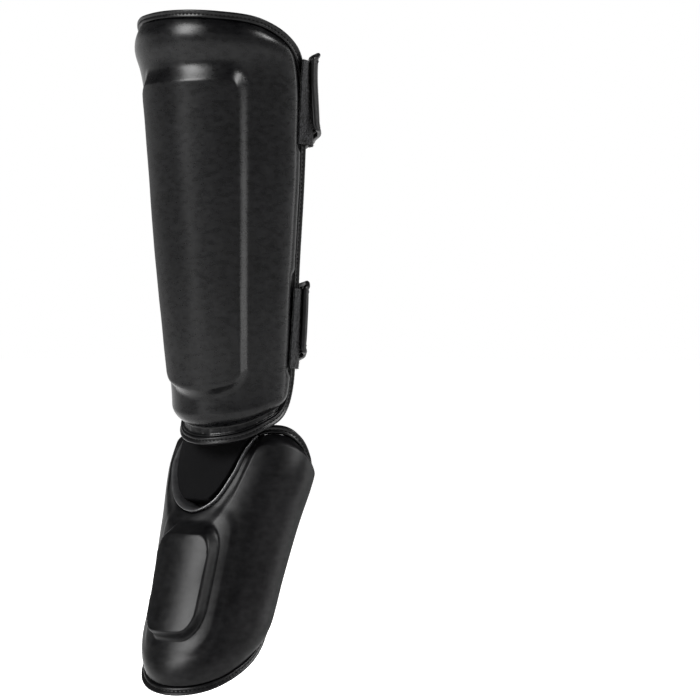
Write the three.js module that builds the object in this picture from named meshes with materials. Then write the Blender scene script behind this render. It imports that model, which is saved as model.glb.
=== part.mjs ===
import * as THREE from 'three';

// A padded guard for one shin and instep, in its worn form.
// Millimetres: x to the wearer's left, y to the back, z up; the origin is on the
// leg's axis, halfway between the two calf straps.

// Shin plate
const SHIN_TOP = 172; // its top seam above the origin; the bindings lie beyond the seams
const SHIN_LENGTH = 334; // top seam to bottom seam
const SHIN_HALF_WIDTH = 80; // leg's axis to the padding's outer face, at the side of the top
const SHIN_DEPTH = 90; // the same, to the front
const CALF_BACK = 62; // the same, to the back
const SHIN_WRAP = 80; // degrees from the front to a long edge
const SHIN_RIDGE_WIDTH = 116; // across the foot of the raised pad, at the top
const SHIN_RIDGE_RISE = 6.5;
const SHIN_ROLL = 14; // how far the padding rolls down to a long edge
const SHIN_TOP_ROLL = 18; // the same, to the top edge
const SHIN_LOW_ROLL = 7; // the same, to the flat margin at the bottom
const SHIN_MARGIN = 10; // flat leather between the padding and the bottom edge

// Instep plate
const INSTEP_OVERLAP = 1; // top of its wings above the shin plate's bottom seam
const INSTEP_LENGTH = 196; // top of the wings to the toe edge, measured upright
const INSTEP_LEAN = 21; // degrees that the instep runs forward
const INSTEP_SET = 17; // its centre behind the leg's axis, at the top
const INSTEP_HALF_WIDTH = 71;
const INSTEP_DEPTH = 55;
const HEEL_BACK = 54; // its centre to the elastics' outer face at the back
const INSTEP_WRAP = 95;
const INSTEP_RIDGE_WIDTH = 66;
const INSTEP_RIDGE_RISE = 11;
const INSTEP_RIDGE_TURN = -5; // degrees that its raised pad lies to the wearer's left
const INSTEP_ROLL = 14;
const INSTEP_TOE_ROLL = 17;
const INSTEP_MIDDLE = 0.75; // throat to toe, as a share of its length

// Layers and edges
const PADDING = 12; // leather and foam
const LINING = 3;
const EDGE_DROP = 8; // how far the outer face drops to the edges
const BINDING_WIDTH = 6.5;
const BINDING_PROUD = 0.8; // binding past the faces that it holds
const PIPING_WIDTH = 4;
const CLEARANCE = 0.3;
const EDGE_GAP = 0.75; // bindings and the stretch panel to the layers that they are sewn to

// Straps, tabs and elastics
const STRAP_THICKNESS = 3.2;
const STRAP_PIPING = 4.5;
const STRAP_LAP = 9; // strap and tab on the plate, inside its long edge
const UPPER_STRAP_HEIGHT = 58; // between its pipings
const LOWER_STRAP_HEIGHT = 56;
const TAB_THICKNESS = 2;
const TAB_REACH = 26; // loop tab past the plate's long edge
const HOOK_THICKNESS = 1.2;
const HOOK_LENGTH = 30;
const GUSSET_THICKNESS = 2;
const ELASTIC_THICKNESS = 2;
const ANKLE_ELASTIC_WIDTH = 33;
const FOOT_ELASTIC_WIDTH = 48;
const ELASTIC_LAP = 16; // elastic on the wing's inner face

const DEGREE = Math.PI / 180;
const FULL_TURN = 360;

// Sections of the leg, from the plate's top edge down, as shares of the named
// half width and depths
const LEG_SECTIONS = [
  { at: 0.0, width: 1.11, depth: 1.13, back: 0.92 },
  { at: 0.05, width: 1.07, depth: 1.08, back: 0.95 },
  { at: 0.1, width: 1.01, depth: 1.01, back: 0.98 },
  { at: 0.15, width: 0.98, depth: 0.965, back: 1.0 },
  { at: 0.45, width: 0.885, depth: 0.862, back: 1.02 },
  { at: 0.75, width: 0.77, depth: 0.748, back: 0.93 },
  { at: 0.9, width: 0.71, depth: 0.685, back: 0.84 },
  { at: 1.0, width: 0.7, depth: 0.69, back: 0.78 },
];

// Sections of the foot, from the top of the wings down, in the same shares
const FOOT_SECTIONS = [
  { at: 0.0, width: 0.93, depth: 0.86, back: 0.9 },
  { at: 0.15, width: 0.97, depth: 0.92, back: 0.95 },
  { at: 0.38, width: 0.89, depth: 0.98, back: 1.0 },
  { at: 0.7, width: 0.82, depth: 0.95, back: 1.0 },
  { at: 1.0, width: 0.81, depth: 1.05, back: 0.78 },
];

// Outline of each plate, once round from the wearer's upper right: across as a
// share of the wrap to each side, down as a share of the plate's length
const SHIN_OUTLINE = {
  top: [
    { across: -0.78, down: 0.035 },
    { across: -0.57, down: 0.004 },
    { across: -0.3, down: 0.0 },
    { across: 0.0, down: 0.002 },
    { across: 0.3, down: 0.009 },
    { across: 0.57, down: 0.022 },
  ],
  left: [
    { across: 0.78, down: 0.058 },
    { across: 0.91, down: 0.11 },
    { across: 0.97, down: 0.2 },
    { across: 0.99, down: 0.36 },
    { across: 1.0, down: 0.58 },
    { across: 1.04, down: 0.79 },
    { across: 1.04, down: 0.88 },
  ],
  bottom: [
    { across: 0.93, down: 0.935 },
    { across: 0.7, down: 0.965 },
    { across: 0.4, down: 0.99 },
    { across: 0.0, down: 1.0 },
    { across: -0.4, down: 0.99 },
    { across: -0.7, down: 0.965 },
  ],
  right: [
    { across: -0.93, down: 0.935 },
    { across: -1.04, down: 0.88 },
    { across: -1.04, down: 0.79 },
    { across: -1.0, down: 0.58 },
    { across: -0.99, down: 0.36 },
    { across: -0.97, down: 0.22 },
    { across: -0.91, down: 0.135 },
  ],
};

const INSTEP_OUTLINE = {
  top: [
    { across: -0.97, down: 0.13 },
    { across: -0.86, down: 0.045 },
    { across: -0.74, down: 0.004 },
    { across: -0.62, down: 0.01 },
    { across: -0.56, down: 0.07 },
    { across: -0.49, down: 0.17 },
    { across: -0.33, down: 0.28 },
    { across: -0.1, down: 0.325 },
    { across: 0.09, down: 0.28 },
    { across: 0.19, down: 0.17 },
    { across: 0.24, down: 0.07 },
    { across: 0.31, down: 0.01 },
    { across: 0.46, down: 0.0 },
    { across: 0.62, down: 0.02 },
    { across: 0.8, down: 0.075 },
  ],
  left: [
    { across: 0.97, down: 0.17 },
    { across: 1.0, down: 0.25 },
    { across: 0.99, down: 0.35 },
    { across: 0.98, down: 0.46 },
    { across: 0.97, down: 0.6 },
    { across: 0.96, down: 0.74 },
  ],
  bottom: [
    { across: 0.86, down: 0.86 },
    { across: 0.62, down: 0.94 },
    { across: 0.36, down: 0.985 },
    { across: 0.05, down: 1.0 },
    { across: -0.25, down: 0.985 },
    { across: -0.5, down: 0.94 },
  ],
  right: [
    { across: -0.78, down: 0.83 },
    { across: -0.92, down: 0.72 },
    { across: -0.95, down: 0.58 },
    { across: -0.97, down: 0.44 },
    { across: -0.99, down: 0.32 },
    { across: -1.0, down: 0.22 },
  ],
};

// The raised pads: where their foot and rim lie down each plate, as shares of its
// length, how much lower the bottom is at its middle, how far the rim lies inside
// the foot as a share of the half width, and the corners' radius as a multiple of that
const SHIN_RIDGE = {
  foot: 0.1,
  rim: 0.15,
  lowRim: 0.845,
  lowFoot: 0.87,
  sag: 0.04,
  rimInset: 0.17,
  corner: 1.8,
};
const INSTEP_RIDGE = {
  foot: 0.35,
  rim: 0.4,
  lowRim: 0.745,
  lowFoot: 0.79,
  sag: 0.01,
  rimInset: 0.2,
  corner: 2.8,
};

// Grid lines of each plate: shares across its half and down its whole length
const SHIN_COLUMNS = [0, 0.06, 0.13, 0.25, 0.37, 0.44, 0.506, 0.59, 0.72, 0.86, 1];
const SHIN_ROWS = [
  0, 0.03, 0.06, 0.1, 0.125, 0.15, 0.18, 0.27, 0.37, 0.48,
  0.58, 0.68, 0.77, 0.82, 0.845, 0.87, 0.9, 0.94, 0.965, 1,
];
const INSTEP_COLUMNS = [0, 0.08, 0.18, 0.32, 0.46, 0.58, 0.67, 0.75, 0.88, 1];
const INSTEP_ROWS = [0, 0.05, 0.1, 0.15, 0.21, 0.28, 0.36, 0.48, 0.58, 0.63, 0.69, 0.77, 0.84, 0.92, 1];

// Steps along the straps, tabs, stretch panel and elastics
const STRAP_STEPS = 32;
const TAB_COLUMNS = 6;
const GUSSET_COLUMNS = 14;
const ELASTIC_STEPS = 22;

// Straps, from the wearer's right edge round the back to the wearer's left: round
// as a share of the way, rise and tall in shares of the strap's height
const UPPER_STRAP_COURSE = [
  { round: 0.0, rise: 0.0, tall: 0.98 },
  { round: 0.2, rise: -0.02, tall: 0.98 },
  { round: 0.45, rise: 0.25, tall: 1.0 },
  { round: 0.7, rise: 0.6, tall: 1.0 },
  { round: 0.96, rise: 0.74, tall: 1.02 },
  { round: 1.0, rise: 0.74, tall: 0.9 },
];
const LOWER_STRAP_COURSE = [
  { round: 0.0, rise: 0.0, tall: 1.1 },
  { round: 0.2, rise: -0.02, tall: 1.05 },
  { round: 0.45, rise: 0.18, tall: 1.0 },
  { round: 0.7, rise: 0.5, tall: 0.98 },
  { round: 0.96, rise: 0.66, tall: 0.97 },
  { round: 1.0, rise: 0.67, tall: 0.84 },
];
const UPPER_STRAP_START = 73; // height of the strap's middle where it is sewn on
const LOWER_STRAP_START = -104;
const STRAP_END = 7; // the free end past the plate's long edge
const UPPER_STRAP_TILT = 4; // how far the strap's top edge leans in to the leg at its free end
const LOWER_STRAP_TILT = 1;
const STRAP_TILT_RUN = 60; // past the loop tab, before the lean is gone
const STRAP_DIVE = 0.6; // how far strap and tab turn in, for each millimetre past the binding
const STRAP_TUCK = 18; // how far the straps draw in to the calf
const TAB_BELOW_STRAP = 8; // tab's middle below the strap's

// Rows of the stretch panel: down the shin plate, then down the instep's throat, as
// shares of their lengths, and degrees from the front to the wearer's right and left
const GUSSET_LEG_ROWS = [
  { at: 0.935, right: 55, left: 55 },
  { at: 0.985, right: 55, left: 50 },
];
const GUSSET_FOOT_ROWS = [
  { at: 0.0, right: 50, left: 24 },
  { at: 0.045, right: 50, left: 19 },
  { at: 0.1, right: 46, left: 16 },
  { at: 0.17, right: 41, left: 12 },
  { at: 0.23, right: 33, left: 7 },
  { at: 0.265, right: 24.5, left: 2 },
  { at: 0.286, right: 18, left: -4 },
];
const GUSSET_SET_IN = 9; // the stretch panel behind the instep's outer face, in its throat

const ANKLE_ELASTIC_AT = 0.28; // its middle down the instep plate, a share of its length
const FOOT_ELASTIC_AT = 0.76;
const ANKLE_ELASTIC_TUCK = 12; // how far it draws in to the heel
const FOOT_ELASTIC_TUCK = 13;
const ELASTIC_LEAVE = 0.16; // share of its way where it leaves the wing
const ELASTIC_EASE = 0.24; // share of its way in which it reaches its full tuck

// Section of a folded edge: out as a share of its width, level from inner to outer face
const BINDING_SECTION = [
  { out: 0, level: 1 },
  { out: 0.65, level: 1 },
  { out: 1, level: 0.75 },
  { out: 1, level: 0.25 },
  { out: 0.65, level: 0 },
  { out: 0, level: 0 },
];

// Section of the straps' piping, in shares of its width and the strap's thickness
const STRAP_PIPING_SECTION = [
  { reach: 0, level: 0 },
  { reach: 0, level: 1 },
  { reach: 0.7, level: 1.1 },
  { reach: 1, level: 0.75 },
  { reach: 1, level: 0.25 },
  { reach: 0.7, level: -0.1 },
];

// Its turn round the strap's free end: offset as a share of the half height there,
// and the directions in which the piping stands off
const STRAP_PIPING_TURN = [
  { offset: 1, upward: 0.8, endward: 0.6 },
  { offset: 0.7, upward: 0.1, endward: 1 },
  { offset: -0.7, upward: -0.1, endward: 1 },
  { offset: -1, upward: -0.8, endward: 0.6 },
];

// Ends of the throat's piping as shares of the instep's wrap, and the share of its
// length that the throat stays above
const THROAT_RIGHT = -0.61;
const THROAT_LEFT = 0.31;
const THROAT_LOWEST = 0.5;

const leather = new THREE.MeshStandardMaterial({ color: 0x17171a, roughness: 0.45, metalness: 0 });
const edging = new THREE.MeshStandardMaterial({ color: 0x1d1d20, roughness: 0.5, metalness: 0 });
const lining = new THREE.MeshStandardMaterial({ color: 0x202024, roughness: 0.75, metalness: 0 });
const knit = new THREE.MeshStandardMaterial({ color: 0x141416, roughness: 0.9, metalness: 0 });
const elastic = new THREE.MeshStandardMaterial({ color: 0x2a2a2d, roughness: 0.85, metalness: 0 });
const fuzz = new THREE.MeshStandardMaterial({ color: 0x242427, roughness: 1, metalness: 0 });

const guard = new THREE.Group();

// Smooth value of a table's column at a share
function readTable(rows, column, at) {
  const share = THREE.MathUtils.clamp(at, rows[0].at, rows[rows.length - 1].at);
  let i = 0;
  while (i < rows.length - 2 && share > rows[i + 1].at) i += 1;
  const before = rows[Math.max(i - 1, 0)];
  const [low, high] = [rows[i], rows[i + 1]];
  const after = rows[Math.min(i + 2, rows.length - 1)];
  const span = high.at - low.at;
  const t = (share - low.at) / span;
  const startSlope = ((high[column] - before[column]) / (high.at - before.at)) * span;
  const endSlope = ((after[column] - low[column]) / (after.at - low.at)) * span;
  const rise = high[column] - low[column];
  return low[column] + startSlope * t + (3 * rise - 2 * startSlope - endSlope) * t * t
    + (startSlope + endSlope - 2 * rise) * t * t * t;
}

// A form is a limb with the plate's outer face, its raised pad left off
const leg = {
  top: SHIN_TOP,
  length: SHIN_LENGTH,
  halfWidth: SHIN_HALF_WIDTH,
  depth: SHIN_DEPTH,
  back: CALF_BACK,
  lean: 0,
  set: 0,
  sections: LEG_SECTIONS,
};
const foot = {
  top: SHIN_TOP - SHIN_LENGTH + INSTEP_OVERLAP,
  length: INSTEP_LENGTH,
  halfWidth: INSTEP_HALF_WIDTH,
  depth: INSTEP_DEPTH,
  back: HEEL_BACK,
  lean: Math.tan(INSTEP_LEAN * DEGREE),
  set: INSTEP_SET,
  sections: FOOT_SECTIONS,
};

function halfWidthAt(form, at) {
  return form.halfWidth * readTable(form.sections, 'width', at);
}

// Point on a form: angle in degrees from the front to the wearer's left, at down
// its length, lift along the outward normal
function formPoint(form, angle, at, lift) {
  const sine = Math.sin(angle * DEGREE);
  const cosine = Math.cos(angle * DEGREE);
  const width = halfWidthAt(form, at);
  const depth = cosine > 0
    ? form.depth * readTable(form.sections, 'depth', at)
    : form.back * readTable(form.sections, 'back', at);
  const centre = form.set - form.lean * at * form.length;
  const normal = new THREE.Vector2(sine / width, -cosine / depth).normalize();
  return new THREE.Vector3(
    width * sine + lift * normal.x,
    centre - depth * cosine + lift * normal.y,
    form.top - at * form.length,
  );
}

function catmullRom(p0, p1, p2, p3, t) {
  return 0.5 * (2 * p1 + (p2 - p0) * t + (2 * p0 - 5 * p1 + 4 * p2 - p3) * t * t
    + (3 * p1 - p0 - 3 * p2 + p3) * t * t * t);
}

const SIDES = ['top', 'left', 'bottom', 'right'];
const STEPS_PER_SPAN = 8;

// One side of an outline as a fine line of { angle, at, run }, run in shares of its length
function sideLine(plate, side) {
  const loop = SIDES.flatMap((name) => plate.outline[name]);
  const before = SIDES.slice(0, SIDES.indexOf(side));
  const first = before.reduce((sum, name) => sum + plate.outline[name].length, 0);
  const steps = plate.outline[side].length * STEPS_PER_SPAN;
  const line = [];
  for (let step = 0; step <= steps; step += 1) {
    const i = first + Math.floor(step / STEPS_PER_SPAN);
    const t = (step % STEPS_PER_SPAN) / STEPS_PER_SPAN;
    const near = [-1, 0, 1, 2].map((k) => loop[(i + k + loop.length) % loop.length]);
    const across = catmullRom(...near.map((p) => p.across), t);
    const down = catmullRom(...near.map((p) => p.down), t);
    line.push({ angle: across * plate.wrap, at: down, run: 0 });
  }
  for (let k = 1; k < line.length; k += 1) {
    const width = (line[k].angle - line[k - 1].angle) * DEGREE * plate.form.halfWidth;
    const height = (line[k].at - line[k - 1].at) * plate.form.length;
    line[k].run = line[k - 1].run + Math.hypot(width, height);
  }
  const whole = line[line.length - 1].run;
  return line.map((p) => ({ ...p, run: p.run / whole }));
}

function onLine(line, share) {
  let k = 1;
  while (k < line.length - 1 && line[k].run < share) k += 1;
  const t = (share - line[k - 1].run) / (line[k].run - line[k - 1].run);
  return {
    angle: THREE.MathUtils.lerp(line[k - 1].angle, line[k].angle, t),
    at: THREE.MathUtils.lerp(line[k - 1].at, line[k].at, t),
  };
}

// Place on a plate for shares u across, from the wearer's right, and v down: the
// four sides of its outline blended
function platePlace(plate, u, v) {
  const { top, left, bottom, right } = plate.lines;
  const blend = (key) => {
    const upper = onLine(top, u)[key];
    const lower = onLine(bottom, 1 - u)[key];
    const rightward = onLine(right, 1 - v)[key];
    const leftward = onLine(left, v)[key];
    const corners = (1 - u) * (1 - v) * top[0][key] + u * (1 - v) * left[0][key]
      + u * v * bottom[0][key] + (1 - u) * v * right[0][key];
    return (1 - v) * upper + v * lower + (1 - u) * rightward + u * leftward - corners;
  };
  return { angle: blend('angle'), at: blend('at') };
}

function ease(value) {
  return THREE.MathUtils.smoothstep(value, 0, 1);
}

// Height of the padded face over the form, with its raised pad and rolled edges
function plateLift(plate, u, v, place) {
  const { ridge, roll, form } = plate;
  const width = halfWidthAt(form, place.at);
  const arc = Math.abs(place.angle - plate.ridgeTurn) * DEGREE * width;
  const scale = width / form.halfWidth;
  const half = 0.5 * plate.ridgeWidth * scale;
  const sideways = (half - arc) / (half * ridge.rimInset);
  const across = Math.min(1, arc / half);
  const drop = ridge.sag * (1 - across * across);
  const upper = (place.at - ridge.foot) / (ridge.rim - ridge.foot);
  const lower = (ridge.lowFoot + drop - place.at) / (ridge.lowFoot - ridge.lowRim);
  const short = (value) => 1 - THREE.MathUtils.clamp(value / ridge.corner, 0, 1);
  const raised = ease(ridge.corner * (1 - Math.hypot(short(sideways), short(Math.min(upper, lower)))));
  const span = 2 * plate.wrap * DEGREE * width;
  const side = ease((Math.min(u, 1 - u) * span) / roll.side);
  const top = ease((v * form.length * plate.middle) / roll.top);
  const bottom = ease(((1 - v) * form.length * plate.middle - roll.margin) / roll.bottom);
  return plate.rise * raised - EDGE_DROP * (1 - side * top * bottom);
}

function makePlate(settings) {
  const plate = { ...settings };
  plate.lines = Object.fromEntries(SIDES.map((side) => [side, sideLine(plate, side)]));
  const half = plate.columns.map((c) => 0.5 * c);
  const shares = [...half, ...half.slice(0, -1).reverse().map((c) => 1 - c)];
  plate.grid = plate.rows.map((v) => shares.map((u) => ({ u, v, ...platePlace(plate, u, v) })));
  return plate;
}

const shin = makePlate({
  form: leg,
  wrap: SHIN_WRAP,
  outline: SHIN_OUTLINE,
  ridge: SHIN_RIDGE,
  ridgeWidth: SHIN_RIDGE_WIDTH,
  ridgeTurn: 0,
  rise: SHIN_RIDGE_RISE,
  roll: { side: SHIN_ROLL, top: SHIN_TOP_ROLL, margin: SHIN_MARGIN, bottom: SHIN_LOW_ROLL },
  middle: 1,
  columns: SHIN_COLUMNS,
  rows: SHIN_ROWS,
});
const instep = makePlate({
  form: foot,
  wrap: INSTEP_WRAP,
  outline: INSTEP_OUTLINE,
  ridge: INSTEP_RIDGE,
  ridgeWidth: INSTEP_RIDGE_WIDTH,
  ridgeTurn: INSTEP_RIDGE_TURN,
  rise: INSTEP_RIDGE_RISE,
  roll: { side: INSTEP_ROLL, top: INSTEP_ROLL, margin: 0, bottom: INSTEP_TOE_ROLL },
  middle: INSTEP_MIDDLE,
  columns: INSTEP_COLUMNS,
  rows: INSTEP_ROWS,
});

// One closed body from vertices and triangles, its faces turned outward
function addSolid(name, vertices, triangles, material) {
  let volume = 0;
  for (const [a, b, c] of triangles) {
    volume += vertices[a].dot(new THREE.Vector3().crossVectors(vertices[b], vertices[c])) / 6;
  }
  const order = volume < 0 ? triangles.map(([a, b, c]) => [a, c, b]) : triangles;
  const geometry = new THREE.BufferGeometry().setFromPoints(vertices);
  geometry.setIndex(order.flat());
  geometry.computeVertexNormals();
  const mesh = new THREE.Mesh(geometry, material);
  mesh.name = name;
  guard.add(mesh);
}

// A wall between two grids of points of the same size
function addWall(name, outer, inner, material) {
  const rows = outer.length;
  const columns = outer[0].length;
  const vertices = [...outer.flat(), ...inner.flat()];
  const at = (j, i, side) => side * rows * columns + j * columns + i;
  const triangles = [];
  const quad = (a, b, c, d) => triangles.push([a, b, c], [a, c, d]);
  for (let j = 0; j < rows - 1; j += 1) {
    for (let i = 0; i < columns - 1; i += 1) {
      quad(at(j, i, 0), at(j, i + 1, 0), at(j + 1, i + 1, 0), at(j + 1, i, 0));
      quad(at(j, i, 1), at(j + 1, i, 1), at(j + 1, i + 1, 1), at(j, i + 1, 1));
    }
  }
  for (let i = 0; i < columns - 1; i += 1) {
    quad(at(0, i + 1, 0), at(0, i, 0), at(0, i, 1), at(0, i + 1, 1));
    quad(at(rows - 1, i, 0), at(rows - 1, i + 1, 0), at(rows - 1, i + 1, 1), at(rows - 1, i, 1));
  }
  for (let j = 0; j < rows - 1; j += 1) {
    quad(at(j, 0, 0), at(j + 1, 0, 0), at(j + 1, 0, 1), at(j, 0, 1));
    quad(at(j + 1, columns - 1, 0), at(j, columns - 1, 0), at(j, columns - 1, 1), at(j + 1, columns - 1, 1));
  }
  addSolid(name, vertices, triangles, material);
}

// A band through rings of section points, closed on itself or with two flat ends
function addBand(name, rings, closed, material) {
  const size = rings[0].length;
  const at = (k, i) => (k % rings.length) * size + (i % size);
  const triangles = [];
  for (let k = 0; k < rings.length - (closed ? 0 : 1); k += 1) {
    for (let i = 0; i < size; i += 1) {
      triangles.push([at(k, i), at(k + 1, i), at(k + 1, i + 1)], [at(k, i), at(k + 1, i + 1), at(k, i + 1)]);
    }
  }
  if (!closed) {
    for (let i = 1; i < size - 1; i += 1) {
      triangles.push([at(0, 0), at(0, i), at(0, i + 1)]);
      triangles.push([at(rings.length - 1, 0), at(rings.length - 1, i + 1), at(rings.length - 1, i)]);
    }
  }
  addSolid(name, rings.flat(), triangles, material);
}

// Shell and lining of a plate
function addPlate(plate, shellName, liningName) {
  const point = (p, lift) => formPoint(plate.form, p.angle, p.at, lift(p));
  const face = (lift) => plate.grid.map((row) => row.map((p) => point(p, lift)));
  const liningFace = -PADDING - CLEARANCE;
  addWall(shellName, face((p) => plateLift(plate, p.u, p.v, p)), face(() => -PADDING), leather);
  addWall(liningName, face(() => liningFace), face(() => liningFace - LINING), lining);
}

// The plate's edge as a line of places, with the outward direction of each in the
// face, from the share of the top side where it starts
function edgeLine(plate) {
  const { grid } = plate;
  const last = grid.length - 1;
  const end = grid[0].length - 1;
  const loop = [
    ...grid[0].slice(0, -1),
    ...grid.slice(0, -1).map((row) => row[end]),
    ...grid[last].slice(1).reverse(),
    ...grid.slice(1).reverse().map((row) => row[0]),
  ];
  return loop.map((p, k) => {
    const before = loop[(k - 1 + loop.length) % loop.length];
    const after = loop[(k + 1) % loop.length];
    const radius = halfWidthAt(plate.form, p.at);
    const step = (from, to) => new THREE.Vector2(
      (to.angle - from.angle) * DEGREE * radius,
      (to.at - from.at) * plate.form.length,
    ).normalize();
    const incoming = step(before, p);
    const along = incoming.clone().add(step(p, after)).normalize();
    const out = new THREE.Vector2(along.y, -along.x).divideScalar(along.dot(incoming));
    return { angle: p.angle, at: p.at, out, radius };
  });
}

// Place just before another one, seen from its neighbour on the edge
function shortOf(plate, from, to) {
  const width = (to.angle - from.angle) * DEGREE * to.radius;
  const height = (to.at - from.at) * plate.form.length;
  const share = 1 - EDGE_GAP / Math.hypot(width, height);
  return {
    ...to,
    angle: THREE.MathUtils.lerp(from.angle, to.angle, share),
    at: THREE.MathUtils.lerp(from.at, to.at, share),
  };
}

// Ring of a binding at one place of the edge, from section points of out and lift
function edgeRing(plate, place, section) {
  return section.map(({ out, lift }) => formPoint(
    plate.form,
    place.angle + (place.out.x * out) / place.radius / DEGREE,
    place.at + (place.out.y * out) / plate.form.length,
    lift,
  ));
}

// Folded edge of a plate, from its outer face round to its inner one
function bindingSection(width) {
  const outer = -EDGE_DROP + BINDING_PROUD;
  const inner = -PADDING - LINING - CLEARANCE - BINDING_PROUD;
  return BINDING_SECTION.map(({ out, level }) => ({
    out: EDGE_GAP + out * width,
    lift: THREE.MathUtils.lerp(inner, outer, level),
  }));
}

// Height that clears the shin plate's flank and binding, past its long edge
function overEdge(past) {
  const flank = -EDGE_DROP * (1 - ease(STRAP_LAP / SHIN_ROLL)) + 2 * CLEARANCE;
  const binding = -EDGE_DROP + BINDING_PROUD + 2 * CLEARANCE;
  const edge = BINDING_WIDTH + EDGE_GAP + CLEARANCE;
  const share = Math.min(1, (past + STRAP_LAP) / (edge + STRAP_LAP));
  return THREE.MathUtils.lerp(flank, binding, share) - STRAP_DIVE * Math.max(0, past - edge);
}

// Share of the leg's length for a height
function legShare(height) {
  return (leg.top - height) / leg.length;
}

// Widest angle of the shin plate's long edge between two heights
function longEdge(side, low, high) {
  const line = shin.lines[side];
  const within = line.filter((p) => p.at >= legShare(high) && p.at <= legShare(low));
  return Math.max(...within.map((p) => Math.abs(p.angle)));
}

// The strap's course as places from the wearer's right edge round the back to its
// free end, which lies over the loop tab
function strapPlaces(strap) {
  const course = strap.course.map((row) => ({ ...row, at: row.round }));
  const half = 0.5 * strap.height;
  const endMiddle = strap.start + course[course.length - 1].rise * strap.height;
  const startRadius = halfWidthAt(leg, legShare(strap.start));
  const endRadius = halfWidthAt(leg, legShare(endMiddle));
  const startEdge = longEdge('right', strap.start - half - STRAP_PIPING, strap.start + half);
  const endEdge = longEdge('left', endMiddle - TAB_BELOW_STRAP - half - STRAP_PIPING, endMiddle + half);
  const first = -startEdge + STRAP_LAP / startRadius / DEGREE;
  const last = -FULL_TURN + endEdge + STRAP_END / endRadius / DEGREE;
  const stack = TAB_THICKNESS + HOOK_THICKNESS + 4 * CLEARANCE;
  const placeAt = (round) => {
    const angle = THREE.MathUtils.lerp(first, last, round);
    const fromStart = -(angle + startEdge) * DEGREE * startRadius;
    const fromEnd = (angle + FULL_TURN - endEdge) * DEGREE * endRadius;
    return {
      angle,
      tilt: strap.tilt * (1 - ease((fromEnd - TAB_REACH) / STRAP_TILT_RUN)),
      radius: startRadius,
      middle: strap.start + readTable(course, 'rise', round) * strap.height,
      half: half * readTable(course, 'tall', round),
      lift: Math.max(overEdge(fromStart), -STRAP_TUCK, overEdge(fromEnd) + stack),
    };
  };
  const whole = Array.from({ length: STRAP_STEPS + 1 }, (_, k) => placeAt(k / STRAP_STEPS));
  const hook = whole.filter((p) => (p.angle - last) * DEGREE * endRadius < HOOK_LENGTH).slice(0, -1);
  return { whole, hook, endEdge, endMiddle, endRadius };
}

function strapPoint(place, offset, lift) {
  const lean = (place.tilt * offset) / place.half;
  return formPoint(leg, place.angle, legShare(place.middle + offset), place.lift + lift - lean);
}

function addStrap(strap) {
  const places = strapPlaces(strap);
  const face = (line, inset, lift) => [1, 0, -1].map((side) => line.map((p) => (
    strapPoint(p, side * (p.half - inset), lift))));
  addWall(`${strap.name}_strap`, face(places.whole, 0, STRAP_THICKNESS), face(places.whole, 0, 0), leather);
  addStrapPiping(strap, places.whole);
  const hookInner = -CLEARANCE - HOOK_THICKNESS;
  addWall(`${strap.name}_hook_pad`, face(places.hook, STRAP_PIPING, -CLEARANCE),
    face(places.hook, STRAP_PIPING, hookInner), fuzz);
  addLoopTab(strap, places);
}

// Piping along the strap's top edge, round its free end and back along its bottom edge
function addStrapPiping(strap, places) {
  const end = places[places.length - 1];
  const ring = (place, { offset, upward, endward }) => STRAP_PIPING_SECTION.map(({ reach, level }) => {
    const distance = CLEARANCE + reach * STRAP_PIPING;
    const moved = { ...place, angle: place.angle - (distance * endward) / place.radius / DEGREE };
    return strapPoint(moved, offset * place.half + distance * upward, level * STRAP_THICKNESS);
  });
  const along = places.slice(0, -1);
  const rings = [
    ...along.map((p) => ring(p, { offset: 1, upward: 1, endward: 0 })),
    ...STRAP_PIPING_TURN.map((turn) => ring(end, turn)),
    ...along.reverse().map((p) => ring(p, { offset: -1, upward: -1, endward: 0 })),
  ];
  addBand(`${strap.name}_strap_piping`, rings, false, edging);
}

// Loop tab sewn on the plate's long edge under the strap's free end
function addLoopTab(strap, { endEdge, endMiddle, endRadius }) {
  const middle = endMiddle - TAB_BELOW_STRAP;
  const face = (height) => [1, 0, -1].map((side) => Array.from({ length: TAB_COLUMNS + 1 }, (_, k) => {
    const past = THREE.MathUtils.lerp(-STRAP_LAP, TAB_REACH, k / TAB_COLUMNS);
    const at = legShare(middle + side * (0.5 * strap.height + STRAP_PIPING));
    const lean = strap.tilt * side * ease((past + STRAP_LAP) / (STRAP_LAP + EDGE_GAP + BINDING_WIDTH));
    return formPoint(leg, endEdge + past / endRadius / DEGREE, at, overEdge(past) + height - lean);
  }));
  addWall(`${strap.name}_loop_tab`, face(TAB_THICKNESS), face(0), fuzz);
}

// Stretch panel from inside the shin plate's bottom edge into the instep's throat
function addGusset() {
  const inset = -PADDING - LINING - EDGE_GAP - BINDING_PROUD - CLEARANCE;
  const rows = [
    ...GUSSET_LEG_ROWS.map((row) => ({ form: leg, inset, ...row })),
    ...GUSSET_FOOT_ROWS.map((row) => ({ form: foot, inset: -GUSSET_SET_IN, ...row })),
  ];
  const face = (lift) => rows.map((row) => Array.from({ length: GUSSET_COLUMNS + 1 }, (_, i) => {
    const angle = THREE.MathUtils.lerp(-row.right, row.left, i / GUSSET_COLUMNS);
    return formPoint(row.form, angle, row.at, row.inset + lift);
  }));
  addWall('ankle_gusset', face(0), face(-GUSSET_THICKNESS), knit);
}

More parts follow.
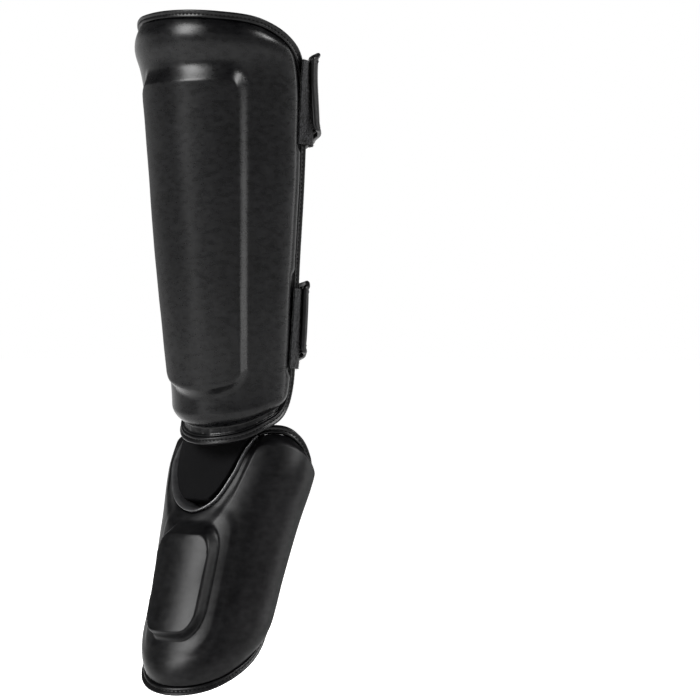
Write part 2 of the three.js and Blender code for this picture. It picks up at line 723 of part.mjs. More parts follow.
// Elastic sewn inside both wings, round the back of the foot's form
function addElastic(name, middle, width, tuck, material) {
  const radius = halfWidthAt(foot, middle);
  const first = INSTEP_WRAP - ELASTIC_LAP / radius / DEGREE;
  const inside = -PADDING - LINING - EDGE_GAP - BINDING_PROUD - ELASTIC_THICKNESS;
  const face = (height) => [-1, 0, 1].map((side) => Array.from({ length: ELASTIC_STEPS + 1 }, (_, k) => {
    const round = k / ELASTIC_STEPS;
    const angle = THREE.MathUtils.lerp(first, FULL_TURN - first, round);
    const away = ease((Math.min(round, 1 - round) - ELASTIC_LEAVE) / ELASTIC_EASE);
    const lift = THREE.MathUtils.lerp(inside, -tuck, away);
    return formPoint(foot, angle, middle + (side * 0.5 * width) / foot.length, lift + height);
  }));
  addWall(name, face(ELASTIC_THICKNESS), face(0), material);
}

function addBindings() {
  const section = bindingSection(BINDING_WIDTH);
  const shinEdge = edgeLine(shin);
  addBand('shin_binding', shinEdge.map((p) => edgeRing(shin, p, section)), true, edging);
  const instepEdge = edgeLine(instep);
  const inThroat = (p) => p.at < THROAT_LOWEST && p.angle > THROAT_RIGHT * INSTEP_WRAP
    && p.angle < THROAT_LEFT * INSTEP_WRAP;
  const firstThroat = instepEdge.findIndex(inThroat);
  const throat = instepEdge.filter(inThroat);
  const rest = [...instepEdge.slice(firstThroat + throat.length), ...instepEdge.slice(0, firstThroat)];
  const piping = [
    shortOf(instep, throat[0], rest[rest.length - 1]),
    ...throat,
    shortOf(instep, throat[throat.length - 1], rest[0]),
  ];
  addBand('instep_binding', rest.map((p) => edgeRing(instep, p, section)), false, edging);
  const thin = bindingSection(PIPING_WIDTH);
  addBand('throat_piping', piping.map((p) => edgeRing(instep, p, thin)), false, edging);
}

addPlate(shin, 'shin_shell', 'shin_lining');
addPlate(instep, 'instep_shell', 'instep_lining');
addBindings();
addStrap({
  name: 'upper',
  start: UPPER_STRAP_START,
  height: UPPER_STRAP_HEIGHT,
  tilt: UPPER_STRAP_TILT,
  course: UPPER_STRAP_COURSE,
});
addStrap({
  name: 'lower',
  start: LOWER_STRAP_START,
  height: LOWER_STRAP_HEIGHT,
  tilt: LOWER_STRAP_TILT,
  course: LOWER_STRAP_COURSE,
});
addGusset();
addElastic('ankle_elastic', ANKLE_ELASTIC_AT, ANKLE_ELASTIC_WIDTH, ANKLE_ELASTIC_TUCK, elastic);
addElastic('foot_elastic', FOOT_ELASTIC_AT, FOOT_ELASTIC_WIDTH, FOOT_ELASTIC_TUCK, elastic);

export default guard;
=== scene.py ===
import math

import bpy
import numpy as np
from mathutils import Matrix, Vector


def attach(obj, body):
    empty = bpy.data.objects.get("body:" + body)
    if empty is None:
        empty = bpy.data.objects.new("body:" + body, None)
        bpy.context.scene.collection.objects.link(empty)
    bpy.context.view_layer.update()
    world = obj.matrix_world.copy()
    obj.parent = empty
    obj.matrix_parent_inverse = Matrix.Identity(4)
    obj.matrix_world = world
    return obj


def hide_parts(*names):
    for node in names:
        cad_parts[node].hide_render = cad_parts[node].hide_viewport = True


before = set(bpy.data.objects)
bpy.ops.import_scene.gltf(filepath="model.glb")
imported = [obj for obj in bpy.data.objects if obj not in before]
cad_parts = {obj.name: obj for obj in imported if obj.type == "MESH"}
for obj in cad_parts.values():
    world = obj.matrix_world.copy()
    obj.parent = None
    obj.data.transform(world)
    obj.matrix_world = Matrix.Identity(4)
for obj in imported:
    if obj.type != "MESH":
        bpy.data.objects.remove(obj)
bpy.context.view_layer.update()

# Camera at the photograph's angle, aimed a little beside the guard
VIEW_AZIMUTH = 33
VIEW_DISTANCE = 1.8
VIEW_TARGET = (0.0, 0.0, -0.092)
VIEW_ASIDE = 0.09
VIEW_LENS = 111.1
SENSOR_WIDTH = 36


def direction(azimuth, elevation):
    """Unit vector from the guard towards an azimuth and elevation in degrees"""
    a, e = math.radians(azimuth), math.radians(elevation)
    return Vector((math.sin(a) * math.cos(e), -math.cos(a) * math.cos(e), math.sin(e)))


def make_camera():
    back = direction(VIEW_AZIMUTH, 0)
    right = direction(VIEW_AZIMUTH + 90, 0)
    aim = Vector(VIEW_TARGET) + right * VIEW_ASIDE
    data = bpy.data.cameras.new("camera")
    data.lens = VIEW_LENS
    data.sensor_width = SENSOR_WIDTH
    camera = bpy.data.objects.new("camera", data)
    camera.location = Vector(VIEW_TARGET) + back * VIEW_DISTANCE
    camera.rotation_mode = "QUATERNION"
    camera.rotation_quaternion = (aim - camera.location).to_track_quat("-Z", "Y")
    bpy.context.scene.collection.objects.link(camera)
    bpy.context.scene.camera = camera


make_camera()

# Sizes in millimetres, the same as the solids'
SHIN_TOP = 172
SHIN_LENGTH = 334
SHIN_HALF_WIDTH = 80
SHIN_DEPTH = 90
CALF_BACK = 62
SHIN_WRAP = 80
SHIN_RIDGE_WIDTH = 116
SHIN_RIDGE_RISE = 6.5
SHIN_ROLL = 14
SHIN_TOP_ROLL = 18
SHIN_LOW_ROLL = 7
SHIN_MARGIN = 10

INSTEP_OVERLAP = 1
INSTEP_LENGTH = 196
INSTEP_LEAN = 21
INSTEP_SET = 17
INSTEP_HALF_WIDTH = 71
INSTEP_DEPTH = 55
HEEL_BACK = 54
INSTEP_WRAP = 95
INSTEP_RIDGE_WIDTH = 66
INSTEP_RIDGE_RISE = 11
INSTEP_RIDGE_TURN = -5
INSTEP_ROLL = 14
INSTEP_TOE_ROLL = 17
INSTEP_MIDDLE = 0.75

PADDING = 12
LINING = 3
EDGE_DROP = 8
BINDING_WIDTH = 6.5
BINDING_PROUD = 0.8
PIPING_WIDTH = 4
CLEARANCE = 0.3
EDGE_GAP = 0.75

STRAP_THICKNESS = 3.2
STRAP_PIPING = 4.5
STRAP_LAP = 9
UPPER_STRAP_HEIGHT = 58
LOWER_STRAP_HEIGHT = 56
TAB_THICKNESS = 2
TAB_REACH = 26
HOOK_THICKNESS = 1.2
HOOK_LENGTH = 30
GUSSET_THICKNESS = 2
ELASTIC_THICKNESS = 2
ANKLE_ELASTIC_WIDTH = 33
FOOT_ELASTIC_WIDTH = 48
ELASTIC_LAP = 16
UPPER_STRAP_START = 73
LOWER_STRAP_START = -104
STRAP_END = 7
UPPER_STRAP_TILT = 4
LOWER_STRAP_TILT = 1
STRAP_TILT_RUN = 60
STRAP_DIVE = 0.6
STRAP_TUCK = 18
TAB_BELOW_STRAP = 8
ANKLE_ELASTIC_AT = 0.28
FOOT_ELASTIC_AT = 0.76
ANKLE_ELASTIC_TUCK = 12
FOOT_ELASTIC_TUCK = 13
ELASTIC_LEAVE = 0.16
ELASTIC_EASE = 0.24
THROAT_RIGHT = -0.61
THROAT_LEFT = 0.31
THROAT_LOWEST = 0.5

DEGREE = math.pi / 180
MM = 0.001

LEG_SECTIONS = {
    "at": [0.0, 0.05, 0.1, 0.15, 0.45, 0.75, 0.9, 1.0],
    "width": [1.11, 1.07, 1.01, 0.98, 0.885, 0.77, 0.71, 0.7],
    "depth": [1.13, 1.08, 1.01, 0.965, 0.862, 0.748, 0.685, 0.69],
    "back": [0.92, 0.95, 0.98, 1.0, 1.02, 0.93, 0.84, 0.78],
}
FOOT_SECTIONS = {
    "at": [0.0, 0.15, 0.38, 0.7, 1.0],
    "width": [0.93, 0.97, 0.89, 0.82, 0.81],
    "depth": [0.86, 0.92, 0.98, 0.95, 1.05],
    "back": [0.9, 0.95, 1.0, 1.0, 0.78],
}

# Outlines as (across, down), in shares of the wrap and of the length
SHIN_OUTLINE = {
    "top": [(-0.78, 0.035), (-0.57, 0.004), (-0.3, 0.0), (0.0, 0.002), (0.3, 0.009), (0.57, 0.022)],
    "left": [(0.78, 0.058), (0.91, 0.11), (0.97, 0.2), (0.99, 0.36), (1.0, 0.58), (1.04, 0.79),
             (1.04, 0.88)],
    "bottom": [(0.93, 0.935), (0.7, 0.965), (0.4, 0.99), (0.0, 1.0), (-0.4, 0.99), (-0.7, 0.965)],
    "right": [(-0.93, 0.935), (-1.04, 0.88), (-1.04, 0.79), (-1.0, 0.58), (-0.99, 0.36),
              (-0.97, 0.22), (-0.91, 0.135)],
}
INSTEP_OUTLINE = {
    "top": [(-0.97, 0.13), (-0.86, 0.045), (-0.74, 0.004), (-0.62, 0.01), (-0.56, 0.07),
            (-0.49, 0.17), (-0.33, 0.28), (-0.1, 0.325), (0.09, 0.28), (0.19, 0.17),
            (0.24, 0.07), (0.31, 0.01), (0.46, 0.0), (0.62, 0.02), (0.8, 0.075)],
    "left": [(0.97, 0.17), (1.0, 0.25), (0.99, 0.35), (0.98, 0.46), (0.97, 0.6), (0.96, 0.74)],
    "bottom": [(0.86, 0.86), (0.62, 0.94), (0.36, 0.985), (0.05, 1.0), (-0.25, 0.985), (-0.5, 0.94)],
    "right": [(-0.78, 0.83), (-0.92, 0.72), (-0.95, 0.58), (-0.97, 0.44), (-0.99, 0.32), (-1.0, 0.22)],
}
# Raised pads: shares down the plate, the ramp as a share of the half width, the corners' roundness
# and how much longer the pad is than the solid's. The shin pad's ramp is a little wider than the solid's
SHIN_RIDGE = {"foot": 0.1, "rim": 0.15, "low_rim": 0.845, "low_foot": 0.87, "sag": 0.04,
              "inset": 0.21, "corner": 1.6, "longer": 0.0}
INSTEP_RIDGE = {"foot": 0.35, "rim": 0.4, "low_rim": 0.745, "low_foot": 0.79, "sag": 0.01,
                "inset": 0.2, "corner": 2.8, "longer": 0.03}

# Courses round the leg, with rise and height in shares of the strap's height
UPPER_STRAP_COURSE = {
    "at": [0.0, 0.2, 0.45, 0.7, 0.96, 1.0],
    "rise": [0.0, -0.02, 0.25, 0.6, 0.74, 0.74],
    "tall": [0.98, 0.98, 1.0, 1.0, 1.02, 0.9],
}
LOWER_STRAP_COURSE = {
    "at": [0.0, 0.2, 0.45, 0.7, 0.96, 1.0],
    "rise": [0.0, -0.02, 0.18, 0.5, 0.66, 0.67],
    "tall": [1.1, 1.05, 1.0, 0.98, 0.97, 0.84],
}
# Rows of the stretch panel: share down, degrees to the wearer's right and left
GUSSET_LEG_ROWS = [(0.935, 55, 55), (0.985, 55, 50)]
GUSSET_FOOT_ROWS = [(0.0, 50, 24), (0.045, 50, 19), (0.1, 46, 16), (0.17, 41, 12), (0.23, 33, 7),
                    (0.265, 24.5, 2), (0.286, 18, -4)]
GUSSET_SET_IN = 9


def read_table(table, column, at):
    """A column of a table of shares, read along a smooth curve through its rows"""
    xs = np.array(table["at"])
    ys = np.array(table[column])
    share = np.clip(at, xs[0], xs[-1])
    i = np.clip(np.searchsorted(xs, share, side="left") - 1, 0, len(xs) - 2)
    before = np.maximum(i - 1, 0)
    after = np.minimum(i + 2, len(xs) - 1)
    span = xs[i + 1] - xs[i]
    t = (share - xs[i]) / span
    start = (ys[i + 1] - ys[before]) / (xs[i + 1] - xs[before]) * span
    end = (ys[after] - ys[i]) / (xs[after] - xs[i]) * span
    rise = ys[i + 1] - ys[i]
    return ys[i] + start * t + (3 * rise - 2 * start - end) * t**2 + (start + end - 2 * rise) * t**3


LEG = dict(top=SHIN_TOP, length=SHIN_LENGTH, half_width=SHIN_HALF_WIDTH, depth=SHIN_DEPTH,
           back=CALF_BACK, lean=0.0, set=0.0, sections=LEG_SECTIONS)
FOOT = dict(top=SHIN_TOP - SHIN_LENGTH + INSTEP_OVERLAP, length=INSTEP_LENGTH,
            half_width=INSTEP_HALF_WIDTH, depth=INSTEP_DEPTH, back=HEEL_BACK,
            lean=math.tan(INSTEP_LEAN * DEGREE), set=INSTEP_SET, sections=FOOT_SECTIONS)


def half_width_at(form, at):
    """Half the limb's width in millimetres"""
    return form["half_width"] * read_table(form["sections"], "width", at)


def form_point(form, angle, at, lift):
    """Points in metres on a limb, from the angle, the share down and the lift in millimetres"""
    angle, at, lift = np.broadcast_arrays(angle, at, lift)
    sine, cosine = np.sin(angle * DEGREE), np.cos(angle * DEGREE)
    width = half_width_at(form, at)
    depth = np.where(cosine > 0,
                     form["depth"] * read_table(form["sections"], "depth", at),
                     form["back"] * read_table(form["sections"], "back", at))
    centre = form["set"] - form["lean"] * at * form["length"]
    nx, ny = sine / width, -cosine / depth
    size = np.hypot(nx, ny)
    return MM * np.stack([width * sine + lift * nx / size,
                          centre - depth * cosine + lift * ny / size,
                          form["top"] - at * form["length"]], axis=-1)


SIDES = ["top", "left", "bottom", "right"]
STEPS_PER_SPAN = 12


def side_line(plate, side):
    """One side of an outline as fine arrays of angle, share down and run"""
    loop = np.array([p for name in SIDES for p in plate["outline"][name]])
    first = sum(len(plate["outline"][name]) for name in SIDES[:SIDES.index(side)])
    count = len(plate["outline"][side])
    step = np.arange(count * STEPS_PER_SPAN + 1)
    i, t = first + step // STEPS_PER_SPAN, ((step % STEPS_PER_SPAN) / STEPS_PER_SPAN)[:, None]
    p0, p1, p2, p3 = (loop[(i + k) % len(loop)] for k in (-1, 0, 1, 2))
    point = 0.5 * (2 * p1 + (p2 - p0) * t + (2 * p0 - 5 * p1 + 4 * p2 - p3) * t**2
                   + (3 * p1 - p0 - 3 * p2 + p3) * t**3)
    angle, at = point[:, 0] * plate["wrap"], point[:, 1]
    width = np.diff(angle) * DEGREE * plate["form"]["half_width"]
    height = np.diff(at) * plate["form"]["length"]
    run = np.concatenate([[0], np.cumsum(np.hypot(width, height))])
    return {"angle": angle, "at": at, "run": run / run[-1]}


def plate_place(plate, u, v):
    """Angle and share down for shares across and down a plate"""
    lines = plate["lines"]
    found = []
    for key in ("angle", "at"):
        def on(side, share, key=key):
            return np.interp(share, lines[side]["run"], lines[side][key])
        start = {side: lines[side][key][0] for side in SIDES}
        corners = ((1 - u) * (1 - v) * start["top"] + u * (1 - v) * start["left"]
                   + u * v * start["bottom"] + (1 - u) * v * start["right"])
        found.append((1 - v) * on("top", u) + v * on("bottom", 1 - u)
                     + (1 - u) * on("right", 1 - v) + u * on("left", v) - corners)
    return found


def ease(value):
    t = np.clip(value, 0, 1)
    return t * t * (3 - 2 * t)


def waves(x, y, seed, octaves=4):
    """Smooth repeatable unevenness from crossed sine waves, about -1 to 1"""
    rng = np.random.default_rng(seed)
    total, size = 0.0, 0.0
    for k in range(octaves):
        for _ in range(3):
            turn, phase = rng.uniform(0, math.pi), rng.uniform(0, 2 * math.pi)
            f = 1.7**k * rng.uniform(0.7, 1.3)
            total = total + 0.6**k * np.sin(f * (x * math.cos(turn) + y * math.sin(turn)) + phase)
            size += 0.6**k
    return 2.2 * total / size


def puffed(value):
    """Steep at the seam and flat at the top, as stuffed leather is"""
    t = np.clip(value, 0, 1)
    return t * (2 - t)


def pad(plate, angle, at, grow=0.0):
    """Height share of a plate's raised pad, its foot grown by some millimetres"""
    ridge, form = plate["ridge"], plate["form"]
    width = half_width_at(form, at)
    arc = np.abs(angle - plate["ridge_turn"]) * DEGREE * width
    half = 0.5 * plate["ridge_width"] * width / form["half_width"]
    down = grow / form["length"]
    sideways = (half + grow - arc) / (half * ridge["inset"])
    across = np.minimum(1, arc / half)
    low_foot = ridge["low_foot"] + down + ridge["longer"] + ridge["sag"] * (1 - across**2)
    upper = (at - ridge["foot"] + down) / (ridge["rim"] - ridge["foot"])
    lower = (low_foot - at) / (ridge["low_foot"] - ridge["low_rim"])
    corner = ridge["corner"]
    short_sideways = 1 - np.clip(sideways / corner, 0, 1)
    short_lengthwise = 1 - np.clip(np.minimum(upper, lower) / corner, 0, 1)
    t = np.clip(corner * (1 - np.hypot(short_sideways, short_lengthwise)), 0, 1)
    return t * t * (2 - t) if grow == 0 else ease(t)


THROAT_ROLL = 22  # how far the cover runs down to the throat's piping
THROAT_PROUD = 6  # the piping and the cover there above the other edges
THROAT_PAST = 0.02  # how far in_throat reaches past the throat's ends, in shares of the wrap
THROAT_FADE = 0.12


def in_throat(angle):
    """1 in the instep's throat, 0 past its ends"""
    middle, half = 0.5 * (THROAT_RIGHT + THROAT_LEFT), 0.5 * (THROAT_LEFT - THROAT_RIGHT)
    return ease((half + THROAT_PAST - np.abs(angle / INSTEP_WRAP - middle)) / THROAT_FADE)


def plate_lift(plate, u, v, angle, at):
    """Height of a plate's outer face above its form: the raised pad and the rolled edges"""
    roll, form = plate["roll"], plate["form"]
    raised = pad(plate, angle, at)
    if plate["terrace"]:
        raised = raised + plate["terrace"] * (pad(plate, angle, at, plate["terrace_width"]) - raised)
    span = 2 * plate["wrap"] * DEGREE * half_width_at(form, at)
    inside = np.minimum(u, 1 - u) * span / roll["side"]
    side = puffed(inside) + plate["pressed"](u, at) * (ease(inside) - puffed(inside))
    open_share = plate["throat"](angle)
    from_top = v * form["length"] * plate["middle"]
    top = puffed(from_top / (roll["top"] + open_share * (THROAT_ROLL - roll["top"])))
    bottom = puffed(((1 - v) * form["length"] * plate["middle"] - roll["margin"]) / roll["bottom"])
    drop = EDGE_DROP - THROAT_PROUD * open_share * (1 - ease(from_top / THROAT_ROLL))
    return plate["rise"] * raised - drop * (1 - side * top * bottom)


def make_plate(**plate):
    plate["lines"] = {side: side_line(plate, side) for side in SIDES}
    u = np.linspace(0, 1, plate["columns"])[None, :]
    v = np.linspace(0, 1, plate["rows"])[:, None]
    plate["u"], plate["v"] = np.broadcast_arrays(u, v)
    plate["angle"], plate["at"] = plate_place(plate, plate["u"], plate["v"])
    return plate


PRESSED_PAST = 16  # how far past a strap the padding's edge stays down
PRESSED_FADE = 6


def pressed_shin(u, at):
    """Where the straps and tabs press the padding's edge down"""
    z = SHIN_TOP - at * SHIN_LENGTH
    found = 0 * z
    for start, height, course in ((UPPER_STRAP_START, UPPER_STRAP_HEIGHT, UPPER_STRAP_COURSE),
                                  (LOWER_STRAP_START, LOWER_STRAP_HEIGHT, LOWER_STRAP_COURSE)):
        end = start + course["rise"][-1] * height - 0.5 * TAB_BELOW_STRAP
        for here, middle in ((u < 0.5, start), (u >= 0.5, end)):
            reach = 0.5 * height + PRESSED_PAST - np.abs(z - middle)
            found = np.maximum(found, here * ease(reach / PRESSED_FADE))
    return found


# The scene's rolls are longer or shorter than the solids', since they are puffed
SHIN = make_plate(
    form=LEG, wrap=SHIN_WRAP, outline=SHIN_OUTLINE, ridge=SHIN_RIDGE, ridge_width=SHIN_RIDGE_WIDTH,
    ridge_turn=0, rise=SHIN_RIDGE_RISE, middle=1, columns=180, rows=260, terrace=0,
    pressed=pressed_shin, throat=lambda angle: 0 * angle,
    roll={"side": SHIN_ROLL, "top": 1.5 * SHIN_TOP_ROLL, "margin": SHIN_MARGIN,
          "bottom": 1.7 * SHIN_LOW_ROLL})
INSTEP = make_plate(
    form=FOOT, wrap=INSTEP_WRAP, outline=INSTEP_OUTLINE, ridge=INSTEP_RIDGE,
    ridge_width=INSTEP_RIDGE_WIDTH, ridge_turn=INSTEP_RIDGE_TURN, rise=INSTEP_RIDGE_RISE,
    middle=INSTEP_MIDDLE, columns=190, rows=180, terrace=0.07, terrace_width=12,
    pressed=lambda u, at: 0 * at, throat=in_throat,
    roll={"side": 0.55 * INSTEP_ROLL, "top": 0.5 * INSTEP_ROLL, "margin": 0,
          "bottom": 1.7 * INSTEP_TOE_ROLL})


# Materials

class Nodes:
    """Short way to wire one material"""

    def __init__(self, name):
        self.material = bpy.data.materials.new(name)
        self.material.use_nodes = True
        self.tree = self.material.node_tree
        self.shader = self.tree.nodes["Principled BSDF"]
        self.place = self.add("ShaderNodeTexCoord")

    def add(self, kind, **inputs):
        node = self.tree.nodes.new(kind)
        for name, value in inputs.items():
            self.set(node, name.replace("_", " "), value)
        return node

    def set(self, node, name, value):
        if isinstance(value, bpy.types.NodeSocket):
            self.tree.links.new(value, node.inputs[name])
        else:
            node.inputs[name].default_value = value

    def mapped(self, coordinates, scale):
        node = self.add("ShaderNodeMapping", Vector=self.place.outputs[coordinates])
        node.inputs["Scale"].default_value = scale
        return node.outputs["Vector"]

    def noise(self, vector, scale, detail=3.0):
        return self.add("ShaderNodeTexNoise", Vector=vector, Scale=scale, Detail=detail).outputs["Fac"]

    def cells(self, vector, scale):
        node = self.add("ShaderNodeTexVoronoi", Vector=vector, Scale=scale)
        return node.outputs["Distance"]

    def math(self, operation, a, b):
        node = self.tree.nodes.new("ShaderNodeMath")
        node.operation = operation
        for socket, value in zip(node.inputs, (a, b)):
            if isinstance(value, bpy.types.NodeSocket):
                self.tree.links.new(value, socket)
            else:
                socket.default_value = value
        return node.outputs[0]

    def spread(self, value, low, high):
        """A value from 0 to 1 spread between two numbers"""
        node = self.add("ShaderNodeMapRange", Value=value)
        node.inputs["To Min"].default_value = low
        node.inputs["To Max"].default_value = high
        return node.outputs["Result"]

    def shades(self, value, low, high, near=0.35, far=0.65):
        node = self.add("ShaderNodeValToRGB", Fac=value)
        node.color_ramp.elements[0].position = near
        node.color_ramp.elements[1].position = far
        node.color_ramp.elements[0].color = (*low, 1)
        node.color_ramp.elements[1].color = (*high, 1)
        return node.outputs["Color"]

    def bump(self, height, strength, distance, before=None):
        node = self.add("ShaderNodeBump", Height=height, Strength=strength, Distance=distance)
        if before is not None:
            self.tree.links.new(before, node.inputs["Normal"])
        return node.outputs["Normal"]

    def finish(self, **inputs):
        for name, value in inputs.items():
            self.set(self.shader, name.replace("_", " "), value)
        return self.material


def leather(name, low, high, rough, grain=0.35, specular=0.11):
    n = Nodes(name)
    place = n.place.outputs["Object"]
    patches = n.noise(place, 22, 2)
    mottle = n.noise(n.mapped("Object", (1, 1, 1.7)), 150, 6)
    fine = n.noise(place, 2600, 2)
    broad = n.bump(patches, 0.25, 0.0016)
    tone = n.math("ADD", n.math("MULTIPLY", patches, 0.5), n.math("MULTIPLY", mottle, 0.5))
    return n.finish(
        Base_Color=n.shades(tone, low, high),
        Roughness=n.spread(mottle, rough - 0.05, rough + 0.05),
        Specular_IOR_Level=n.spread(mottle, 0.65 * specular, 1.35 * specular),
        Normal=n.bump(fine, grain, 0.00018, broad))


def knitted(name, low, high, across, along):
    n = Nodes(name)
    place = n.place.outputs["UV"]
    ribs = n.add("ShaderNodeTexWave", Vector=place, Scale=across)
    ribs.inputs["Distortion"].default_value = 1.2
    ribs.inputs["Detail"].default_value = 2
    loops = n.add("ShaderNodeTexWave", Vector=place, Scale=along)
    loops.bands_direction = "Y"
    loops.inputs["Distortion"].default_value = 0.8
    fluff = n.noise(n.place.outputs["Object"], 1800, 3)
    stitch = n.math("MULTIPLY", ribs.outputs["Fac"], loops.outputs["Fac"])
    height = n.math("ADD", stitch, n.math("MULTIPLY", fluff, 0.5))
    return n.finish(
        Base_Color=n.shades(height, low, high, 0.15, 0.95),
        Roughness=n.spread(fluff, 0.8, 0.95),
        Specular_IOR_Level=0.04,
        Normal=n.bump(height, 0.6, 0.0005))


def ribbed(name, low, high, across):
    n = Nodes(name)
    place = n.place.outputs["UV"]
    ribs = n.add("ShaderNodeTexWave", Vector=place, Scale=across)
    ribs.bands_direction = "Y"
    ribs.inputs["Distortion"].default_value = 0.3
    threads = n.cells(place, 1100)
    fluff = n.noise(n.place.outputs["Object"], 900, 4)
    height = n.math("ADD", ribs.outputs["Fac"], n.math("MULTIPLY", threads, 0.5))
    tone = n.math("ADD", n.math("MULTIPLY", height, 0.6), n.math("MULTIPLY", fluff, 0.4))
    return n.finish(
        Base_Color=n.shades(tone, low, high, 0.2, 0.9),
        Roughness=n.spread(fluff, 0.75, 0.92),
        Specular_IOR_Level=0.15,
        Sheen_Weight=0.03,
        Normal=n.bump(height, 0.7, 0.0004))


def piled(name, low, high):
    n = Nodes(name)
    place = n.place.outputs["Object"]
    tufts = n.cells(place, 700)
    fluff = n.noise(place, 420, 6)
    height = n.math("ADD", n.math("MULTIPLY", tufts, 0.6), fluff)
    return n.finish(
        Base_Color=n.shades(fluff, low, high),
        Roughness=n.spread(fluff, 0.88, 1.0),
        Specular_IOR_Level=0.1,
        Sheen_Weight=0.06,
        Normal=n.bump(height, 1.0, 0.0009))


def thread(name, shade):
    n = Nodes(name)
    twist = n.noise(n.place.outputs["Object"], 3000, 2)
    return n.finish(
        Base_Color=n.shades(twist, tuple(0.6 * c for c in shade), shade),
        Roughness=n.spread(twist, 0.75, 0.95),
        Specular_IOR_Level=0.05,
        Normal=n.bump(twist, 0.4, 0.0002))


LEATHER_DARK, LEATHER_LIGHT = (0.0004, 0.0004, 0.0005), (0.0018, 0.0018, 0.002)
COVER = leather("cover_leather", LEATHER_DARK, LEATHER_LIGHT, 0.28, 0.2)
FOOT_COVER = leather("instep_leather", LEATHER_DARK, LEATHER_LIGHT, 0.37, 0.25, 0.095)
EDGE = leather("edge_leather", (0.0008, 0.0008, 0.0009), (0.0026, 0.0026, 0.0028), 0.32, 0.2)
# The throat piping's base colour is several times lighter than the other leathers': a painted highlight
# for the bright line along its rounded top
PIPING_PAINTED_HIGHLIGHT = leather("piping_leather_painted_highlight", (0.01, 0.01, 0.0104), (0.02, 0.02, 0.021), 0.3, 0.1, 0.5)
STRAP = leather("strap_leather", (0.002, 0.002, 0.0022), (0.005, 0.005, 0.0055), 0.4)
INSIDE = leather("lining_cloth", (0.004, 0.004, 0.0044), (0.009, 0.009, 0.0095), 0.6, 0.5)
KNIT = knitted("stretch_knit", (0.0004, 0.0004, 0.0005), (0.0032, 0.0032, 0.0035), 320, 420)
ANKLE_BAND = ribbed("ankle_band", (0.01, 0.01, 0.011), (0.035, 0.035, 0.038), 380)
FOOT_BAND = ribbed("foot_band", (0.002, 0.002, 0.0023), (0.012, 0.012, 0.013), 380)
PILE = piled("loop_pile", (0.001, 0.001, 0.0011), (0.009, 0.009, 0.01))
THREAD = thread("dark_thread", (0.001, 0.001, 0.001))


# Meshes

def piece(name, vertices, faces, material, replaces=(), uv=None):
    mesh = bpy.data.meshes.new(name)
    mesh.from_pydata(np.asarray(vertices).tolist(), [], np.asarray(faces).tolist())
    mesh.materials.append(material)
    mesh.polygons.foreach_set("use_smooth", [True] * len(mesh.polygons))
    if uv is not None:
        corners = np.empty(len(mesh.loops), dtype=np.int32)
        mesh.loops.foreach_get("vertex_index", corners)
        layer = mesh.uv_layers.new(name="cloth")
        layer.data.foreach_set("uv", np.asarray(uv)[corners].astype(np.float32).ravel())
    mesh.update()
    made = bpy.data.objects.new(name, mesh)
    bpy.context.scene.collection.objects.link(made)
    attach(made, "root")
    if replaces:
        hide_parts(*replaces)
    return made


def grid_faces(rows, columns, first=0, flip=False):
    j, i = np.meshgrid(np.arange(rows - 1), np.arange(columns - 1), indexing="ij")
    a = (first + j * columns + i).ravel()
    quads = np.stack([a, a + 1, a + columns + 1, a + columns], axis=1)
    return quads[:, ::-1] if flip else quads


def outward(vertices, faces):
    """The faces of a closed body, turned to face out"""
    a, b, c, d = (vertices[faces[:, k]] for k in range(4))
    volume = np.einsum("ij,ij->", a, np.cross(b, c)) + np.einsum("ij,ij->", a, np.cross(c, d))
    return faces[:, ::-1] if volume < 0 else faces


def wall(name, outer, inner, material, replaces, uv=None):
    """Closed wall between two grids of the same size"""
    rows, columns = outer.shape[:2]
    vertices = np.concatenate([outer.reshape(-1, 3), inner.reshape(-1, 3)])
    count = rows * columns
    rim = np.concatenate([
        np.arange(columns),
        np.arange(1, rows) * columns + columns - 1,
        (rows - 1) * columns + np.arange(columns - 2, -1, -1),
        np.arange(rows - 2, 0, -1) * columns])
    after = np.roll(rim, -1)
    sides = np.stack([after, rim, rim + count, after + count], axis=1)
    faces = np.concatenate([grid_faces(rows, columns), grid_faces(rows, columns, count, True), sides])
    if uv is not None:
        uv = np.concatenate([uv.reshape(-1, 2)] * 2)
    return piece(name, vertices, outward(vertices, faces), material, replaces, uv)


def band(name, rings, closed, material, replaces):
    """Band through rings of section points, closed on itself or capped"""
    rings = np.asarray(rings)
    count, size = rings.shape[:2]
    k, i = np.meshgrid(np.arange(count if closed else count - 1), np.arange(size), indexing="ij")
    k, i = k.ravel(), i.ravel()
    at = lambda kk, ii: (kk % count) * size + ii % size
    faces = np.stack([at(k, i), at(k + 1, i), at(k + 1, i + 1), at(k, i + 1)], axis=1)
    vertices = rings.reshape(-1, 3)
    if not closed:
        for first in (0, (count - 1) * size):
            centre = len(vertices)
            vertices = np.concatenate([vertices, vertices[first:first + size].mean(axis=0)[None]])
            i = np.arange(0, size, 2)
            cap = np.stack([np.full(len(i), centre), first + i, first + (i + 1) % size,
                            first + (i + 2) % size], axis=1)
            faces = np.concatenate([faces, cap if first else cap[:, ::-1]])
    return piece(name, vertices, outward(vertices, faces), material, replaces)


STITCH_PITCH = 3.4
STITCH_LENGTH = 2.3
STITCH_WIDTH = 0.95
STITCH_PROUD = 0.1
NORMAL_STEP = 5  # how far above a line its second line lies, which gives the line's normals
# Corners of a stitch: along, across and up, in shares of its length and width
STITCH_SHAPE = [(-0.5, 0, -0.5), (-0.3, 0.5, 0), (-0.3, 0, 0.5), (-0.3, -0.5, 0),
                (0.3, 0.5, 0), (0.3, 0, 0.5), (0.3, -0.5, 0), (0.5, 0, -0.5)]
STITCH_FACES = [(0, 2, 1), (0, 3, 2), (1, 2, 5), (1, 5, 4), (2, 3, 6), (2, 6, 5), (7, 4, 5), (7, 5, 6)]


